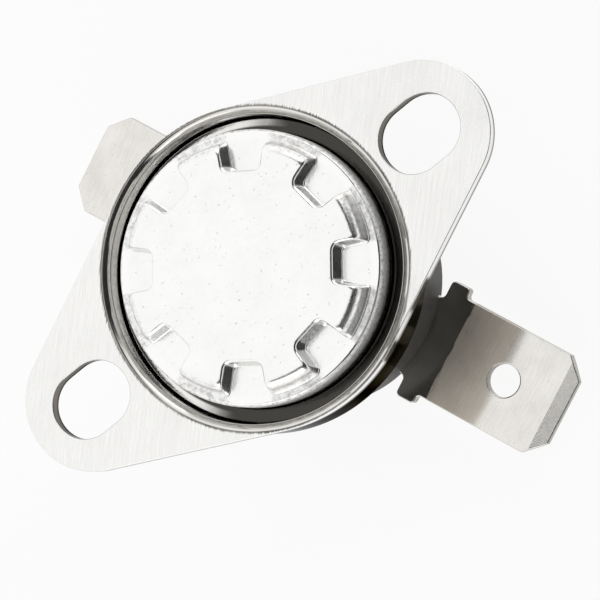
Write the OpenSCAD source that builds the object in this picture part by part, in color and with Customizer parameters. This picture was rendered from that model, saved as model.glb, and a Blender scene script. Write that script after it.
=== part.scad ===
// Snap-disc bimetal thermostat: a notched aluminium cap on a moulded base, a loose slotted flange
// round the cap and two flat tabs at the back. Millimetres, with +Z out of the sensing face.
// The origin is under the middle of the base, on the surface that its barrier rib stands on.

/* [Flange] */
// Distance between the centres of the two mounting slots
slot_pitch = 24; // [23.4:0.1:27]
// Width of each mounting slot
slot_w = 3.86; // [3:0.02:4.4]
// Length of each mounting slot from end to end
slot_l = 4.84; // [4.5:0.02:5.4]
// Radius of the flange's rounded ends
ear_r = 4.05; // [3.5:0.05:5]
// Sheet thickness of the flange
flange_t = 0.8; // [0.5:0.05:1.2]
// Wall of the collar that is drawn down round the cap
collar_wall = 0.5; // [0.35:0.05:0.8]
// Radius of the bend from the flange's face into the collar
bend_r = 0.45; // [0.2:0.05:0.45]
// Metal left outside the collar at the flange's waist
waist_w = 0.05; // [0.02:0.01:0.4]
// Thickness of the collar's inward lip
lip_t = 0.45; // [0.3:0.05:0.7]
// Depth of the cap's brim below the flange's face
collar_depth = 1.5; // [1.25:0.05:1.85]

/* [Cap] */
// Distance that the cap's cup stands out over the base's side
cup_w = 0.45; // [0.35:0.05:0.6]
// Sheet thickness of the cap
cap_t = 0.4; // [0.3:0.05:0.5]
// Height of the cup's wall from the brim to the ledge
wall_h = 2.15; // [2:0.05:2.95]
// Radius of the cup's outer edge
ledge_r = 0.45; // [0.2:0.05:0.6]
// Width of the brim round the cup
brim_w = 0.8; // [0.7:0.05:1]
// Overhang of the crimp under the base's upper rim
crimp_w = 0.2; // [0.1:0.05:0.3]
// Distance from the cup's outside to the foot of the raised face
ledge_w = 0.5; // [0.45:0.05:0.9]
// Height of the raised face above the ledge
face_h = 1.25; // [0.8:0.05:1.8]
// Lean of the raised face's side, from top to foot
face_lean = 0.3; // [0.1:0.05:0.4]
// Rounding of the raised face's top edge
face_round = 0.2; // [0.1:0.05:0.3]
// Number of notches in the raised face
notch_n = 8; // [6:1:10]
// Length of the notch floors under the raised face
notch_l = 1.5; // [1:0.05:1.8]
// Angle that a notch floor spans
notch_deg = 19.5; // [14:0.5:24]
// Distance that the notch walls stand back, from floor to top
notch_flare = 0.16; // [0.05:0.01:0.25]
// Radius of the notches' inner corners
notch_corner = 0.3; // [0.15:0.05:0.5]
// Turn of the first notch from the flange's long axis
notch_turn = 9; // [0:1:45]

/* [Bimetal disc and push pin] */
// Wall of the guide plate round the bimetal disc
guide_wall = 0.6; // [0.45:0.05:0.9]
// Thickness of the bimetal disc
disc_t = 0.2; // [0.1:0.02:0.24]
// Height of the disc's dome
disc_rise = 0.3; // [0.15:0.01:0.32]
// Thickness of the guide plate under the disc's edge
guide_t = 1.75; // [1.65:0.05:1.8]
// Depth of the guide plate's recess under the disc
recess_h = 0.6; // [0.5:0.05:0.65]
// Width of the seat that carries the disc's edge
seat_w = 0.6; // [0.4:0.05:1]
// Radius of the hub that guides the push pin
hub_r = 2.4; // [1.9:0.1:3]
// Length of the hub below the guide plate
hub_l = 1.6; // [0.8:0.1:2.2]
// Depth of the rim that centres the guide plate in the base
spigot_h = 0.8; // [0.4:0.1:1.2]
// Wall of that rim
spigot_w = 0.9; // [0.5:0.1:1.2]
// Radius of the push pin
pin_r = 1.1; // [0.8:0.05:1.2]

/* [Base] */
// Height of the base from its rear face to its top
base_h = 10.8; // [10.25:0.05:12.25]
// Radius of the base's rear edge
rear_round = 0.3; // [0.1:0.05:0.6]
// Thickness of the upper rim that the cap is crimped round
rim_t = 0.6; // [0.4:0.05:0.9]
// Overlap of the shoulder that keeps the flange's lip from sliding back
shoulder_w = 0.3; // [0.2:0.05:0.45]
// Thickness of that shoulder
shoulder_t = 0.9; // [0.6:0.1:1.6]
// Wall of the base round the switch chamber
base_wall = 1.25; // [0.85:0.05:1.35]
// Thickness of the chamber's floor
floor_t = 3.2; // [2:0.1:3.6]
// Width of the barrier rib between the terminals
barrier_w = 4.4; // [3.4:0.1:4.6]
// Height of the barrier rib behind the base
barrier_h = 1.4; // [1:0.1:2]
// Distance of the barrier rib's ends inside the base's edge
barrier_in = 0.65; // [0.4:0.05:1.5]

/* [Contacts] */
// Space between the push pin and the plate that holds the fixed contact
pin_gap = 0.4; // [0.3:0.05:0.6]
// Height of the boss under the contact arm
arm_boss_h = 2.85; // [2:0.05:3]
// Wall of the bosses on the inner side of the rivets
boss_wall = 0.25; // [0.15:0.05:0.4]
// Thickness of the contact arm
arm_t = 0.25; // [0.15:0.05:0.4]
// Width of the contact arm at its root
arm_w = 4; // [3:0.1:4.2]
// Width of the contact arm at its free end
arm_tip_w = 2.6; // [2.2:0.1:3]
// Space between the arm's free end and the boss opposite
arm_end_gap = 0.2; // [0.1:0.05:0.4]
// Radius of a contact's face
contact_r = 0.95; // [0.7:0.05:1]
// Height of a contact's face from what carries it
contact_h = 0.6; // [0.4:0.05:0.75]
// Rounding of a contact's face edge
contact_round = 0.2; // [0.1:0.05:0.3]
// Radius of a contact's shank
contact_shank_r = 0.5; // [0.35:0.05:0.55]
// Height of a contact's peened end
peen_h = 0.2; // [0.1:0.05:0.3]
// Thickness of the plate that holds the fixed contact
plate_t = 0.5; // [0.3:0.05:0.8]
// Width of that plate
plate_w = 3.6; // [2.8:0.1:4]

/* [Terminals] */
// Angle of the first tab from the flange's long axis
tab_turn = -65; // [-90:1:-50]
// Width of the tabs
tab_w = 6.3; // [5.6:0.05:7]
// Thickness of the tabs
tab_t = 0.8; // [0.5:0.05:1]
// Distance of the tab tips from the middle
tab_reach = 16.55; // [15:0.05:19]
// Size of the tab tips' cut corners
tip_cut = 1.15; // [0.4:0.05:1.6]
// Length of the bevel on the tab tips
bevel_l = 1.1; // [0.4:0.05:1.5]
// Thickness of the bevelled tips
bevel_t = 0.4; // [0.2:0.05:0.45]
// Radius of the hole in each tab
tab_hole_r = 0.98; // [0.6:0.02:1.2]
// Distance of that hole from the middle
tab_hole_pos = 12.55; // [11:0.05:13.5]
// Width across the stops at the root of each tab
stop_w = 7.5; // [7.2:0.05:9]
// Length of the stops
stop_l = 1.2; // [0.8:0.05:1.8]
// Radius of the stops' corners
stop_round = 0.3; // [0.1:0.05:0.35]
// Space between the base and the stops
stop_gap = 0.35; // [0.1:0.05:0.8]
// Width of the terminal inside its pocket
neck_w = 5; // [4.2:0.1:5.2]

/* [Rivets] */
// Radius of the rivet shanks
rivet_r = 0.9; // [0.6:0.05:0.9]
// Radius of the rivet heads behind the terminals
head_r = 1.45; // [1.1:0.05:1.7]
// Height of the rivet heads
head_h = 0.7; // [0.4:0.05:0.9]
// Radius of the rivets' upset ends in the chamber
upset_r = 1.2; // [1:0.05:1.2]
// Height of the upset ends
upset_h = 0.5; // [0.3:0.05:0.8]
// Radius of the hole in each rivet's head
rivet_bore_r = 0.5; // [0.3:0.05:0.55]
// Depth of that hole
rivet_bore_l = 2.5; // [1:0.1:4]

/* [Fits] */
// Running clearance between the crimp and the collar
run_fit = 0.1; // [0.05:0.01:0.1]
// Free play of the lip between the crimp and the shoulder, each side
lip_gap = 0.05; // [0.02:0.01:0.1]
// Room for the collar's lip to pass over the upper rim
pass_fit = 0.1; // [0.05:0.01:0.15]
// Clearance of still parts that are put together loosely
seat_fit = 0.05; // [0.02:0.01:0.08]
// Running clearance of the push pin in its guide
pin_fit = 0.05; // [0.03:0.01:0.1]
// End play of the push pin, and the gap between the contacts at rest
switch_gap = 0.05; // [0.02:0.01:0.08]

/* [Hidden] */
$fn = 96;

// Overcut that keeps cutting faces off the faces they cut
over = 1;
// Distance of the flange's straight sides inside the tangents of its waist and ends
side_inset = 0.01;
// Steps of the disc's dome from the middle to the edge
dome_steps = 12;
// Steps round a notch's inner corner
corner_steps = 4;

// Levels from the barrier rib up to the sensing face
z_rear = barrier_h;
z_floor = z_rear + floor_t;
z_top = z_rear + base_h;
z_brim = z_top + cap_t;
z_flange = z_brim + collar_depth;
z_ledge = z_brim + wall_h;
z_face = z_ledge + face_h;

// Radii from the push pin out through the contacts, a boss and a rivet to the base's side
plate_end = pin_r + pin_gap;
contact_pos = plate_end + contact_r;
arm_end = contact_pos + contact_r;
boss_in = arm_end + arm_end_gap;
rivet_pos = boss_in + boss_wall + rivet_r;
chamber_r = rivet_pos + upset_r + seat_fit;
base_r = chamber_r + base_wall;

// Crimp, lip and shoulder that hold the flange loosely
cap_r = base_r + cup_w;
hem_r = cap_r + brim_w;
rim_r = hem_r - cap_t - seat_fit;
hem_ir = rim_r - crimp_w;
groove_r = hem_ir - seat_fit;
collar_ir = hem_r + run_fit;
collar_or = collar_ir + collar_wall;
waist_r = collar_or + waist_w;
lip_ir = rim_r + pass_fit;
shoulder_r = lip_ir + shoulder_w;
z_hem = z_top - rim_t - cap_t;
z_lip = z_hem - lip_gap - lip_t;
z_shoulder = z_lip - lip_gap;

// Raised face, its notches and the hollow pressed up behind it
face_foot_r = cap_r - ledge_w;
face_r = face_foot_r - face_lean;
notch_r = face_r - notch_l;
notch_half = notch_deg / 2;
notch_mid = notch_r / (1 - sin(notch_half));

// Disc, guide plate and push pin
guide_r = cap_r - cap_t - 2 * seat_fit;
z_seat = z_top + guide_t;
disc_space_r = guide_r - guide_wall;
disc_r = disc_space_r - 2 * seat_fit;
recess_r = disc_r - seat_w;
dome_r = (disc_r * disc_r + disc_rise * disc_rise) / (2 * disc_rise);

// Contact stack, from the arm's boss up to the fixed contact's plate
z_arm = z_floor + arm_boss_h;
z_arm_top = z_arm + arm_t;
z_contact = z_arm_top + contact_h;
z_plate = z_contact + switch_gap + contact_h;
z_plate_top = z_plate + plate_t;
arm_root = sqrt(pow(chamber_r - seat_fit, 2) - pow(arm_w / 2, 2));
plate_root = sqrt(pow(chamber_r - seat_fit, 2) - pow(plate_w / 2, 2));
z_pin = z_arm_top + switch_gap;
z_pin_top = z_seat + disc_rise - switch_gap;

// Terminals and the barrier rib between them
stop_pos = sqrt(pow(base_r, 2) - pow(neck_w / 2, 2)) + stop_gap;
barrier_r = base_r - barrier_in;
pocket_in = barrier_w / 2;
pad_in = pocket_in + 2 * seat_fit;

// Quarter-round piece that is cut off an outer corner at the origin
module corner_cut(r) {
    difference() {
        translate([-r, -r])
            square([r + over, r + over]);
        translate([-r, -r])
            circle(r);
        translate([-r - over, -r - over])
            square([over, 3 * over]);
    }
}

// Rectangle with its lower left corner at a point
module block(x, y, w, h) {
    translate([x, y])
        square([w, h]);
}

// Rectangle with rounded corners, centred on the tab's axis
module round_bar(x, l, w, r) {
    block(x + r, -w / 2, l - 2 * r, w);
    block(x, -w / 2 + r, l, w - 2 * r);
    for (i = [r, l - r], s = [-1, 1])
        translate([x + i, s * (w / 2 - r)])
            circle(r);
}

// Flange outline: the waist and the two ends, joined by straight sides just inside their tangents
module flange_outline() {
    lean = acos((waist_r - ear_r) / (slot_pitch / 2));
    waist_side = waist_r - side_inset;
    ear_side = ear_r - side_inset;
    circle(waist_r);
    for (s = [-1, 1]) {
        ear = [s * slot_pitch / 2, 0];
        dir = [s * cos(lean), sin(lean)];
        low = [dir.x, -dir.y];
        translate(ear)
            circle(ear_r);
        polygon([waist_side * dir, ear + ear_side * dir, ear + ear_side * low, waist_side * low]);
    }
}

module flange_slots() {
    run = slot_l - slot_w;
    for (s = [-1, 1])
        translate([s * slot_pitch / 2, 0]) {
            square([run, slot_w], center = true);
            for (e = [-1, 1])
                translate([e * run / 2, 0])
                    circle(slot_w / 2);
        }
}

// Section of the flange's central opening: past the lip, up the collar and out over the bend
module collar_opening() {
    block(0, z_lip - over, lip_ir, lip_t + 2 * over);
    block(0, z_lip + lip_t, collar_ir, z_flange - z_lip - lip_t + over);
    difference() {
        block(collar_ir - over, z_flange - bend_r, bend_r + over, bend_r + over);
        translate([collar_ir + bend_r, z_flange - bend_r])
            circle(bend_r);
    }
}

module mounting_flange() {
    color("gainsboro")
    difference() {
        union() {
            translate([0, 0, z_flange - flange_t])
                linear_extrude(flange_t)
                    difference() {
                        flange_outline();
                        flange_slots();
                    }
            rotate_extrude()
                difference() {
                    block(0, z_lip, collar_or, z_flange - z_lip - flange_t / 2);
                    translate([collar_or, z_lip])
                        mirror([0, 1])
                            corner_cut(bend_r);
                }
        }
        rotate_extrude()
            collar_opening();
    }
}

// Plan of a notch about the point that is equally far from its three walls, which stand back by a
// further wall where the hollow goes round it
module notch_plan(wall) {
    reach = face_foot_r + over;
    inner = notch_r - wall;
    corner = [inner + notch_corner,
        ((inner + notch_corner) * sin(notch_half) + wall - notch_corner) / cos(notch_half)];
    side = (reach * sin(notch_half) + wall) / cos(notch_half);
    turn = 90 - notch_half;
    bend = [for (i = [0 : corner_steps]) 180 - turn * i / corner_steps];
    upper = concat([for (a = bend) corner + notch_corner * [cos(a), sin(a)]], [[reach, side]]);
    lower = [for (i = [len(upper) - 1 : -1 : 0]) [upper[i].x, -upper[i].y]];
    translate([-notch_mid, 0])
        polygon(concat(upper, lower));
}

// Notches with leaning walls, from a level up through the face
module notches(z, wall) {
    h = z_face - z + over;
    lean = notch_flare * h / face_h;
    for (i = [0 : notch_n - 1])
        rotate(notch_turn + i * 360 / notch_n)
            translate([notch_mid, 0, z])
                linear_extrude(h, scale = 1 + lean / (notch_mid - notch_r + wall), slices = 1, $fn = 12)
                    notch_plan(wall);
}

// Section of the raised face, with its leaning side and rounded top edge, down into the cup's sheet
module face_section() {
    z_root = z_ledge - cap_t / 2;
    intersection() {
        polygon([[0, z_root], [face_foot_r, z_root], [face_foot_r, z_ledge], [face_r, z_face],
            [0, z_face]]);
        union() {
            block(0, z_root, face_foot_r, z_face - face_round - z_root);
            block(0, z_root, face_r - face_round, z_face - z_root);
            translate([face_r - face_round, z_face - face_round])
                circle(face_round);
        }
    }
}

// Section of the hollow behind the raised face, open to the cup below
module hollow_section() {
    foot_r = face_foot_r - cap_t;
    z_foot = z_ledge - cap_t;
    block(0, z_foot - over / 2, foot_r, over / 2);
    polygon([[0, z_foot], [foot_r, z_foot], [face_r - cap_t, z_face - cap_t], [0, z_face - cap_t]]);
}

// Section of the cup with its brim, and the edge rolled under the base's upper rim
module cup_section() {
    difference() {
        union() {
            block(0, z_brim - over, cap_r, wall_h + over);
            block(0, z_hem, hem_r, z_brim - z_hem);
        }
        translate([cap_r, z_ledge])
            corner_cut(ledge_r);
        translate([hem_r, z_brim])
            corner_cut(cap_t / 2);
        translate([hem_r, z_hem])
            mirror([0, 1])
                corner_cut(cap_t / 2);
        block(0, z_hem - over, hem_ir, cap_t + over);
        block(0, z_hem + cap_t, hem_r - cap_t, z_top - z_hem - cap_t);
        block(0, z_top - over, cap_r - cap_t, z_ledge - cap_t - z_top + over);
    }
}

module sensing_cap() {
    color("silver")
    difference() {
        rotate_extrude() {
            cup_section();
            face_section();
        }
        notches(z_ledge, 0);
        difference() {
            rotate_extrude()
                hollow_section();
            notches(z_ledge - cap_t, cap_t);
        }
    }
}

// Height of the dome's underside at a radius
function dome_z(r) = sqrt(dome_r * dome_r - r * r) - (dome_r - disc_rise);

module bimetal_disc() {
    under = [for (i = [0 : dome_steps]) let (r = disc_r * i / dome_steps) [r, dome_z(r)]];
    above = [for (i = [dome_steps : -1 : 0]) [under[i].x, under[i].y + disc_t]];
    color("rosybrown")
    translate([0, 0, z_seat])
        rotate_extrude()
            polygon(concat(under, above));
}

module guide_plate() {
    wall_top = z_ledge - cap_t - seat_fit;
    color("saddlebrown")
    rotate_extrude()
        difference() {
            union() {
                block(0, z_top, guide_r, wall_top - z_top);
                block(0, z_top - hub_l, hub_r, hub_l);
                block(chamber_r - seat_fit - spigot_w, z_top - spigot_h, spigot_w, spigot_h);
            }
            block(0, z_seat, disc_space_r, wall_top - z_seat + over);
            block(0, z_seat - recess_h, recess_r, recess_h + over);
            block(0, z_top - hub_l - over, pin_r + pin_fit, wall_top - z_top + hub_l + 2 * over);
        }
}

module push_pin() {
    color("ivory")
    rotate_extrude()
        union() {
            block(0, z_pin + pin_r, pin_r, z_pin_top - z_pin - pin_r);
            intersection() {
                block(0, z_pin, pin_r, pin_r);
                translate([0, z_pin + pin_r])
                    circle(pin_r);
            }
        }
}

// Section of the base: body, shoulder, groove for the lip, upper rim and chamber
module base_section() {
    difference() {
        union() {
            block(0, z_rear, base_r, z_shoulder - z_rear);
            block(0, z_shoulder - shoulder_t, shoulder_r, shoulder_t);
            block(0, z_rear, groove_r, z_top - z_rear);
            block(0, z_top - rim_t, rim_r, rim_t);
        }
        block(base_r, z_rear - over, shoulder_r, z_shoulder - shoulder_t - z_rear + over);
        translate([base_r, z_rear])
            mirror([0, 1])
                corner_cut(rear_round);
        block(0, z_floor, chamber_r, z_top - z_floor + over);
    }
}

// Boss that grows out of the chamber's wall, from the floor up to a contact piece
module boss(side, top, w) {
    intersection() {
        translate([0, 0, z_floor - over])
            cylinder(h = top - z_floor + over, r = chamber_r + seat_fit);
        translate([side > 0 ? boss_in : -base_r, -w / 2, z_floor - over])
            cube([base_r - boss_in, w, base_h]);
    }
}

module base() {
    color("#3a3835")
    rotate(tab_turn)
    difference() {
        union() {
            rotate_extrude()
                base_section();
            boss(1, z_arm, arm_w);
            boss(-1, z_plate, plate_w);
            intersection() {
                cylinder(h = z_floor, r = barrier_r);
                translate([-barrier_w / 2, -base_r, 0])
                    cube([barrier_w, 2 * base_r, z_floor]);
            }
        }
        for (s = [-1, 1]) {
            pocket_w = neck_w + 2 * seat_fit;
            mirror([s < 0 ? 1 : 0, 0])
                translate([pocket_in, -pocket_w / 2, z_rear - over])
                    cube([base_r, pocket_w, tab_t + over]);
            translate([s * rivet_pos, 0, 0])
                cylinder(h = z_top, r = rivet_r + seat_fit);
        }
    }
}

module contact_arm() {
    color("peru")
    rotate(tab_turn)
    translate([0, 0, z_arm])
        linear_extrude(arm_t)
            difference() {
                polygon([[arm_root, -arm_w / 2], [arm_root, arm_w / 2], [boss_in, arm_w / 2],
                    [-contact_pos, arm_tip_w / 2], [-arm_end, arm_tip_w / 4],
                    [-arm_end, -arm_tip_w / 4], [-contact_pos, -arm_tip_w / 2], [boss_in, -arm_w / 2]]);
                translate([rivet_pos, 0])
                    circle(rivet_r + seat_fit);
                translate([-contact_pos, 0])
                    circle(contact_shank_r + seat_fit);
            }
}

// Contact rivet with its face up, its shank through a sheet and its end peened over
module contact_rivet(sheet_t) {
    peen_r = (contact_r + contact_shank_r) / 2;
    rotate_extrude() {
        difference() {
            block(0, 0, contact_r, contact_h);
            translate([contact_r, contact_h])
                corner_cut(contact_round);
        }
        block(0, -sheet_t - peen_h, contact_shank_r, sheet_t + peen_h + contact_h / 2);
        block(0, -sheet_t - peen_h, peen_r, peen_h);
    }
}

module moving_contact() {
    color("lightgrey")
    rotate(tab_turn)
    translate([-contact_pos, 0, z_arm_top])
        contact_rivet(arm_t);
}

module fixed_contact() {
    color("lightgrey")
    rotate(tab_turn)
    translate([-contact_pos, 0, z_plate])
        mirror([0, 0, 1])
            contact_rivet(plate_t);
}

module contact_plate() {
    color("goldenrod")
    rotate(tab_turn)
    translate([0, 0, z_plate])
        linear_extrude(plate_t)
            difference() {
                block(-plate_root, -plate_w / 2, plate_root - plate_end, plate_w);
                translate([-rivet_pos, 0])
                    circle(rivet_r + seat_fit);
                translate([-contact_pos, 0])
                    circle(contact_shank_r + seat_fit);
            }
}

// Outline of a terminal along +X: pad in its pocket, stops and blade with cut corners
module terminal_outline() {
    blade_in = stop_pos + stop_l / 2;
    half = tab_w / 2;
    difference() {
        union() {
            block(pad_in, -neck_w / 2, blade_in - pad_in, neck_w);
            round_bar(stop_pos, stop_l, stop_w, stop_round);
            polygon([[blade_in, -half], [tab_reach - tip_cut, -half], [tab_reach, tip_cut - half],
                [tab_reach, half - tip_cut], [tab_reach - tip_cut, half], [blade_in, half]]);
        }
        translate([rivet_pos, 0])
            circle(rivet_r + seat_fit);
        translate([tab_hole_pos, 0])
            circle(tab_hole_r);
    }
}

// Wedge that bevels the upper face of a blade's tip
module tip_wedge() {
    drop = (tab_t - bevel_t) / 2;
    slope = drop / bevel_l;
    translate([0, tab_w, 0])
        rotate([90, 0, 0])
            linear_extrude(2 * tab_w)
                polygon([[tab_reach - bevel_l, tab_t], [tab_reach + over, tab_t - drop - slope * over],
                    [tab_reach + over, tab_t + over], [tab_reach - bevel_l, tab_t + over]]);
}

module terminal() {
    translate([0, 0, z_rear])
        difference() {
            linear_extrude(tab_t)
                terminal_outline();
            tip_wedge();
            translate([0, 0, tab_t])
                mirror([0, 0, 1])
                    tip_wedge();
        }
}

module arm_terminal() {
    color("lightsteelblue")
    rotate(tab_turn)
        terminal();
}

module plate_terminal() {
    color("lightsteelblue")
    rotate(tab_turn + 180)
        terminal();
}

// Semi-tubular rivet along +Z: head behind the terminal, upset end on a sheet at level z
module rivet(z) {
    rotate_extrude()
        difference() {
            union() {
                difference() {
                    block(0, z_rear - head_h, head_r, head_h);
                    translate([head_r, z_rear - head_h])
                        mirror([0, 1])
                            corner_cut(head_h / 2);
                }
                block(0, z_rear - head_h, rivet_r, z - z_rear + head_h);
                block(0, z, upset_r, upset_h);
            }
            block(0, z_rear - head_h - over, rivet_bore_r, rivet_bore_l + over);
        }
}

module arm_rivet() {
    color("darkgoldenrod")
    rotate(tab_turn)
        translate([rivet_pos, 0, 0])
            rivet(z_arm_top);
}

module plate_rivet() {
    color("darkgoldenrod")
    rotate(tab_turn)
        translate([-rivet_pos, 0, 0])
            rivet(z_plate_top);
}

mounting_flange();
sensing_cap();
bimetal_disc();
guide_plate();
push_pin();
base();
contact_arm();
moving_contact();
fixed_contact();
contact_plate();
arm_terminal();
plate_terminal();
arm_rivet();
plate_rivet();
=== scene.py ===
"""Looks of a snap-disc thermostat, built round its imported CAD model."""

import math

import bmesh
import bpy
from mathutils import Matrix, Vector


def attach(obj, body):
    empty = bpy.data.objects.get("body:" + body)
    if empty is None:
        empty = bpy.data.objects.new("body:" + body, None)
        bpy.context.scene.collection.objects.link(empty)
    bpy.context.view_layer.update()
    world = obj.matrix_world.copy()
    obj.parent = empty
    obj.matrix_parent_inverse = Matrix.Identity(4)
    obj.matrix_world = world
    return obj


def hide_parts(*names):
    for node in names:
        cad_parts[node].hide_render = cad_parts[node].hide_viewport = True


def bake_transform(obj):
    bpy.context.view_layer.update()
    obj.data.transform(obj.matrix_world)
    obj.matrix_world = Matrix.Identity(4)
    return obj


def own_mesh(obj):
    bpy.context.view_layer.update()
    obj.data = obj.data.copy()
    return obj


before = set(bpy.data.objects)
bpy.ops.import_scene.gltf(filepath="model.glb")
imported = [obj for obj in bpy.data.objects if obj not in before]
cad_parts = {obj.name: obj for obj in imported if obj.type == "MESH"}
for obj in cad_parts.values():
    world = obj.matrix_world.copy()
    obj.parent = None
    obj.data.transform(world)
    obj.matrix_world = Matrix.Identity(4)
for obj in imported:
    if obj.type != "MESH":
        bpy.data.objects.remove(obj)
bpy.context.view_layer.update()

MM = 0.001

# Levels of the model in millimetres, from the barrier rib up to the sensing face
Z_LIP = 10.7
Z_HEM = 11.2
Z_TOP = 12.2
Z_BRIM = 12.6
Z_FLANGE = 14.1
Z_LEDGE = 14.75
Z_FACE = 16.0

# Flange sizes in millimetres
FLANGE_T = 0.8
EAR_POS = 12.0
EAR_R = 4.05
WAIST_R = 9.15
SLOT_R = 1.93
SLOT_RUN = 0.98
LIP_IR = 8.15
LIP_T = 0.45
COLLAR_IR = 8.6
COLLAR_OR = 9.1
BEND_R = 0.45
LEAD_R = 9.0
LEAD_START = 17
LEAD_END = 48
LEAD_ROUND = 0.767
WALL_ROUND = 0.11
LIP_CORNER = 0.1
LIP_CHAMFER = 0.03
LIP_EDGE = 0.05
FLANGE_ROLL = 0.06
FLANGE_BURR = 0.03

# Bands of the flange's finish and painted shade in millimetres: distances from the cap's axis or from a
# slot's middle
BRUSH_TURN = math.radians(45)
BRUSH_FRAY = 0.35
BRUSHED_BAND = (9.26, 9.36)
BEND_TOP_BAND = (8.86, 8.93)
CREASE_BAND = (8.99, 9.03)
OUTER_WALL_BAND = (8.7, 8.8)
PAST_COLLAR_BAND = (9.11, 9.14)
SLOT_WALL_BAND = (2.6, 3.2)

# Cap sizes in millimetres
CAP_T = 0.4
CAP_R = 7.7
HEM_R = 8.5
HEM_IR = 7.85
HEM_ROUND = 0.2
BRIM_ROUND = 0.06
LEDGE_R = 0.25
CUP_FOOT_ROUND = 0.15
FACE_FOOT_R = 7.12
FACE_LEAN = 0.25
FACE_ROUND = 0.45
NOTCH_ROUND = 0.15
NOTCH_N = 8
NOTCH_R = 5.4
NOTCH_HALF = math.radians(9.75)
NOTCH_FLARE = 0.16
NOTCH_CORNER = 0.3
NOTCH_TURN = math.radians(9)
TOOTH_ROUND = 0.25
FOOT_ROUND = 0.1
NOTCH_FOOT_ROUND = 0.06

# Bands of the cap's finish and painted shade in millimetres, and the side, towards the camera, on which the
# brim keeps the groove's painted shade
RIM_BAND = (7.0, 7.25)
SHOULDER_BAND = (6.45, 6.85)
BRIM_BAND = (8.02, 8.16)
PAINTED_SHADE_BAND = (-2.0, 1.2)
PAINTED_SHADE_FRAY = 2.0
PAINTED_SHADE_SIDE = math.radians(-46.5)

# Axis of the terminals in the flange's plane, and the place where the contact arm bends
TAB_TURN = math.radians(-65)
TAB_AXIS = Vector((math.cos(TAB_TURN), math.sin(TAB_TURN), 0))
ARM_ROOT = 3.7
ARM_FREE = 2.2
ARM_CUTS = 10

# Terminal sizes in millimetres
TAB_T = 0.8
TAB_W = 6.3
TAB_REACH = 16.55
TAB_EDGE = 0.06
Z_TAB_MID = 1.8
TIP_CUT = 1.15
BEVEL_T = 0.51
BEVEL_POS = 15.75
BEVEL_HALF_W = TAB_REACH - BEVEL_POS + TAB_W / 2 - TIP_CUT
TAB_HOLE_R = 0.98
TAB_HOLE_POS = 12.55
STOP_CORNER = 0.28
STOP_EDGE = 0.22
NECK_CORNER = 0.3
BLADE_CORNER = 0.25
TIP_CORNER = 0.03
TIP_EDGE = 0.06
# Band across each blade, in millimetres from the middle, with a brownish painted reflection and a matt
# roughness
PAINTED_REFLECTION_START = 9.05
PAINTED_REFLECTION_RISE = 0.12
PAINTED_REFLECTION_END = 11.9
PAINTED_REFLECTION_FALL = 0.9
PAINTED_REFLECTION_FRAY = 0.3
STOP_W = 7.5
STOP_L = 1.2
STOP_POS = 7.1552
NECK_W = 5.0
PAD_IN = 2.3
RIVET_POS = 4.75
RIVET_R = 0.95

# Width of the flat border between a rounded edge and the flat face inside it
BORDER = 0.03

# Steps round the whole flange collar and cap, and along smaller curves
TURN_STEPS = 288
EAR_STEPS = 48
WAIST_STEPS = 40
SLOT_STEPS = 32
HOLE_STEPS = 40
BEND_STEPS = 10
TOOTH_STEPS = 16
ROUND_STEPS = 6
CORNER_STEPS = 5
EDGE_STEPS = 4
NOTCH_FLOOR_STEPS = 3

# Angle over which an edge is sharp, and the clean-up of a CAD mesh before its edges are rounded
SHARP = math.radians(35)
WELD = 0.0005
FLAT_ANGLE = math.radians(1)
BEVEL_SEGMENTS = 3


# Mesh helpers

def circle(r, z, steps=TURN_STEPS):
    """Points of a level circle."""
    angles = [2 * math.pi * i / steps for i in range(steps)]
    return [(r * math.cos(a), r * math.sin(a), z) for a in angles]


def arc(x, y, r, start, end, steps):
    """Points of an arc in a plane, both ends included, with angles in degrees."""
    angles = [math.radians(start + (end - start) * i / steps) for i in range(steps + 1)]
    return [(x + r * math.cos(a), y + r * math.sin(a)) for a in angles]


def loop(bm, points):
    """New vertices at the points."""
    return [bm.verts.new(p) for p in points]


def bridge(bm, lower, upper):
    """Faces between two closed loops of equal length."""
    count = len(lower)
    for i in range(count):
        j = (i + 1) % count
        bm.faces.new((lower[i], lower[j], upper[j], upper[i]))


def loft(bm, rows):
    """Closed loops at the rows of points, joined one to the next."""
    loops = [loop(bm, row) for row in rows]
    for lower, upper in zip(loops, loops[1:]):
        bridge(bm, lower, upper)
    return loops


def fill(bm, loops):
    """Flat face inside the first closed loop and outside the others."""
    edges = []
    for ring in loops:
        for i, v in enumerate(ring):
            ends = (v, ring[(i + 1) % len(ring)])
            edges.append(bm.edges.get(ends) or bm.edges.new(ends))
    bmesh.ops.triangle_fill(bm, use_beauty=True, edges=edges)


def finished(name, bm, node, material):
    """Object made from bm in millimetres, shaded smooth between sharp edges, in the place of a CAD node."""
    bmesh.ops.recalc_face_normals(bm, faces=bm.faces)
    for edge in bm.edges:
        if edge.calc_face_angle(0.0) > SHARP:
            edge.smooth = False
    mesh = bpy.data.meshes.new(name)
    bm.to_mesh(mesh)
    bm.free()
    mesh.polygons.foreach_set("use_smooth", [True] * len(mesh.polygons))
    mesh.materials.append(material)
    obj = bpy.data.objects.new(name, mesh)
    bpy.context.scene.collection.objects.link(obj)
    return placed(obj, node)


def placed(obj, node):
    """Applies an object's modifiers, with normals that follow its large faces, and brings it to metres."""
    weighted = obj.modifiers.new("weighted", "WEIGHTED_NORMAL")
    weighted.keep_sharp = True
    weighted.weight = 80
    graph = bpy.context.evaluated_depsgraph_get()
    mesh = bpy.data.meshes.new_from_object(obj.evaluated_get(graph))
    mesh.transform(Matrix.Scale(MM, 4))
    obj.modifiers.clear()
    obj.data = mesh
    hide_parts(node)
    return obj


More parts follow.
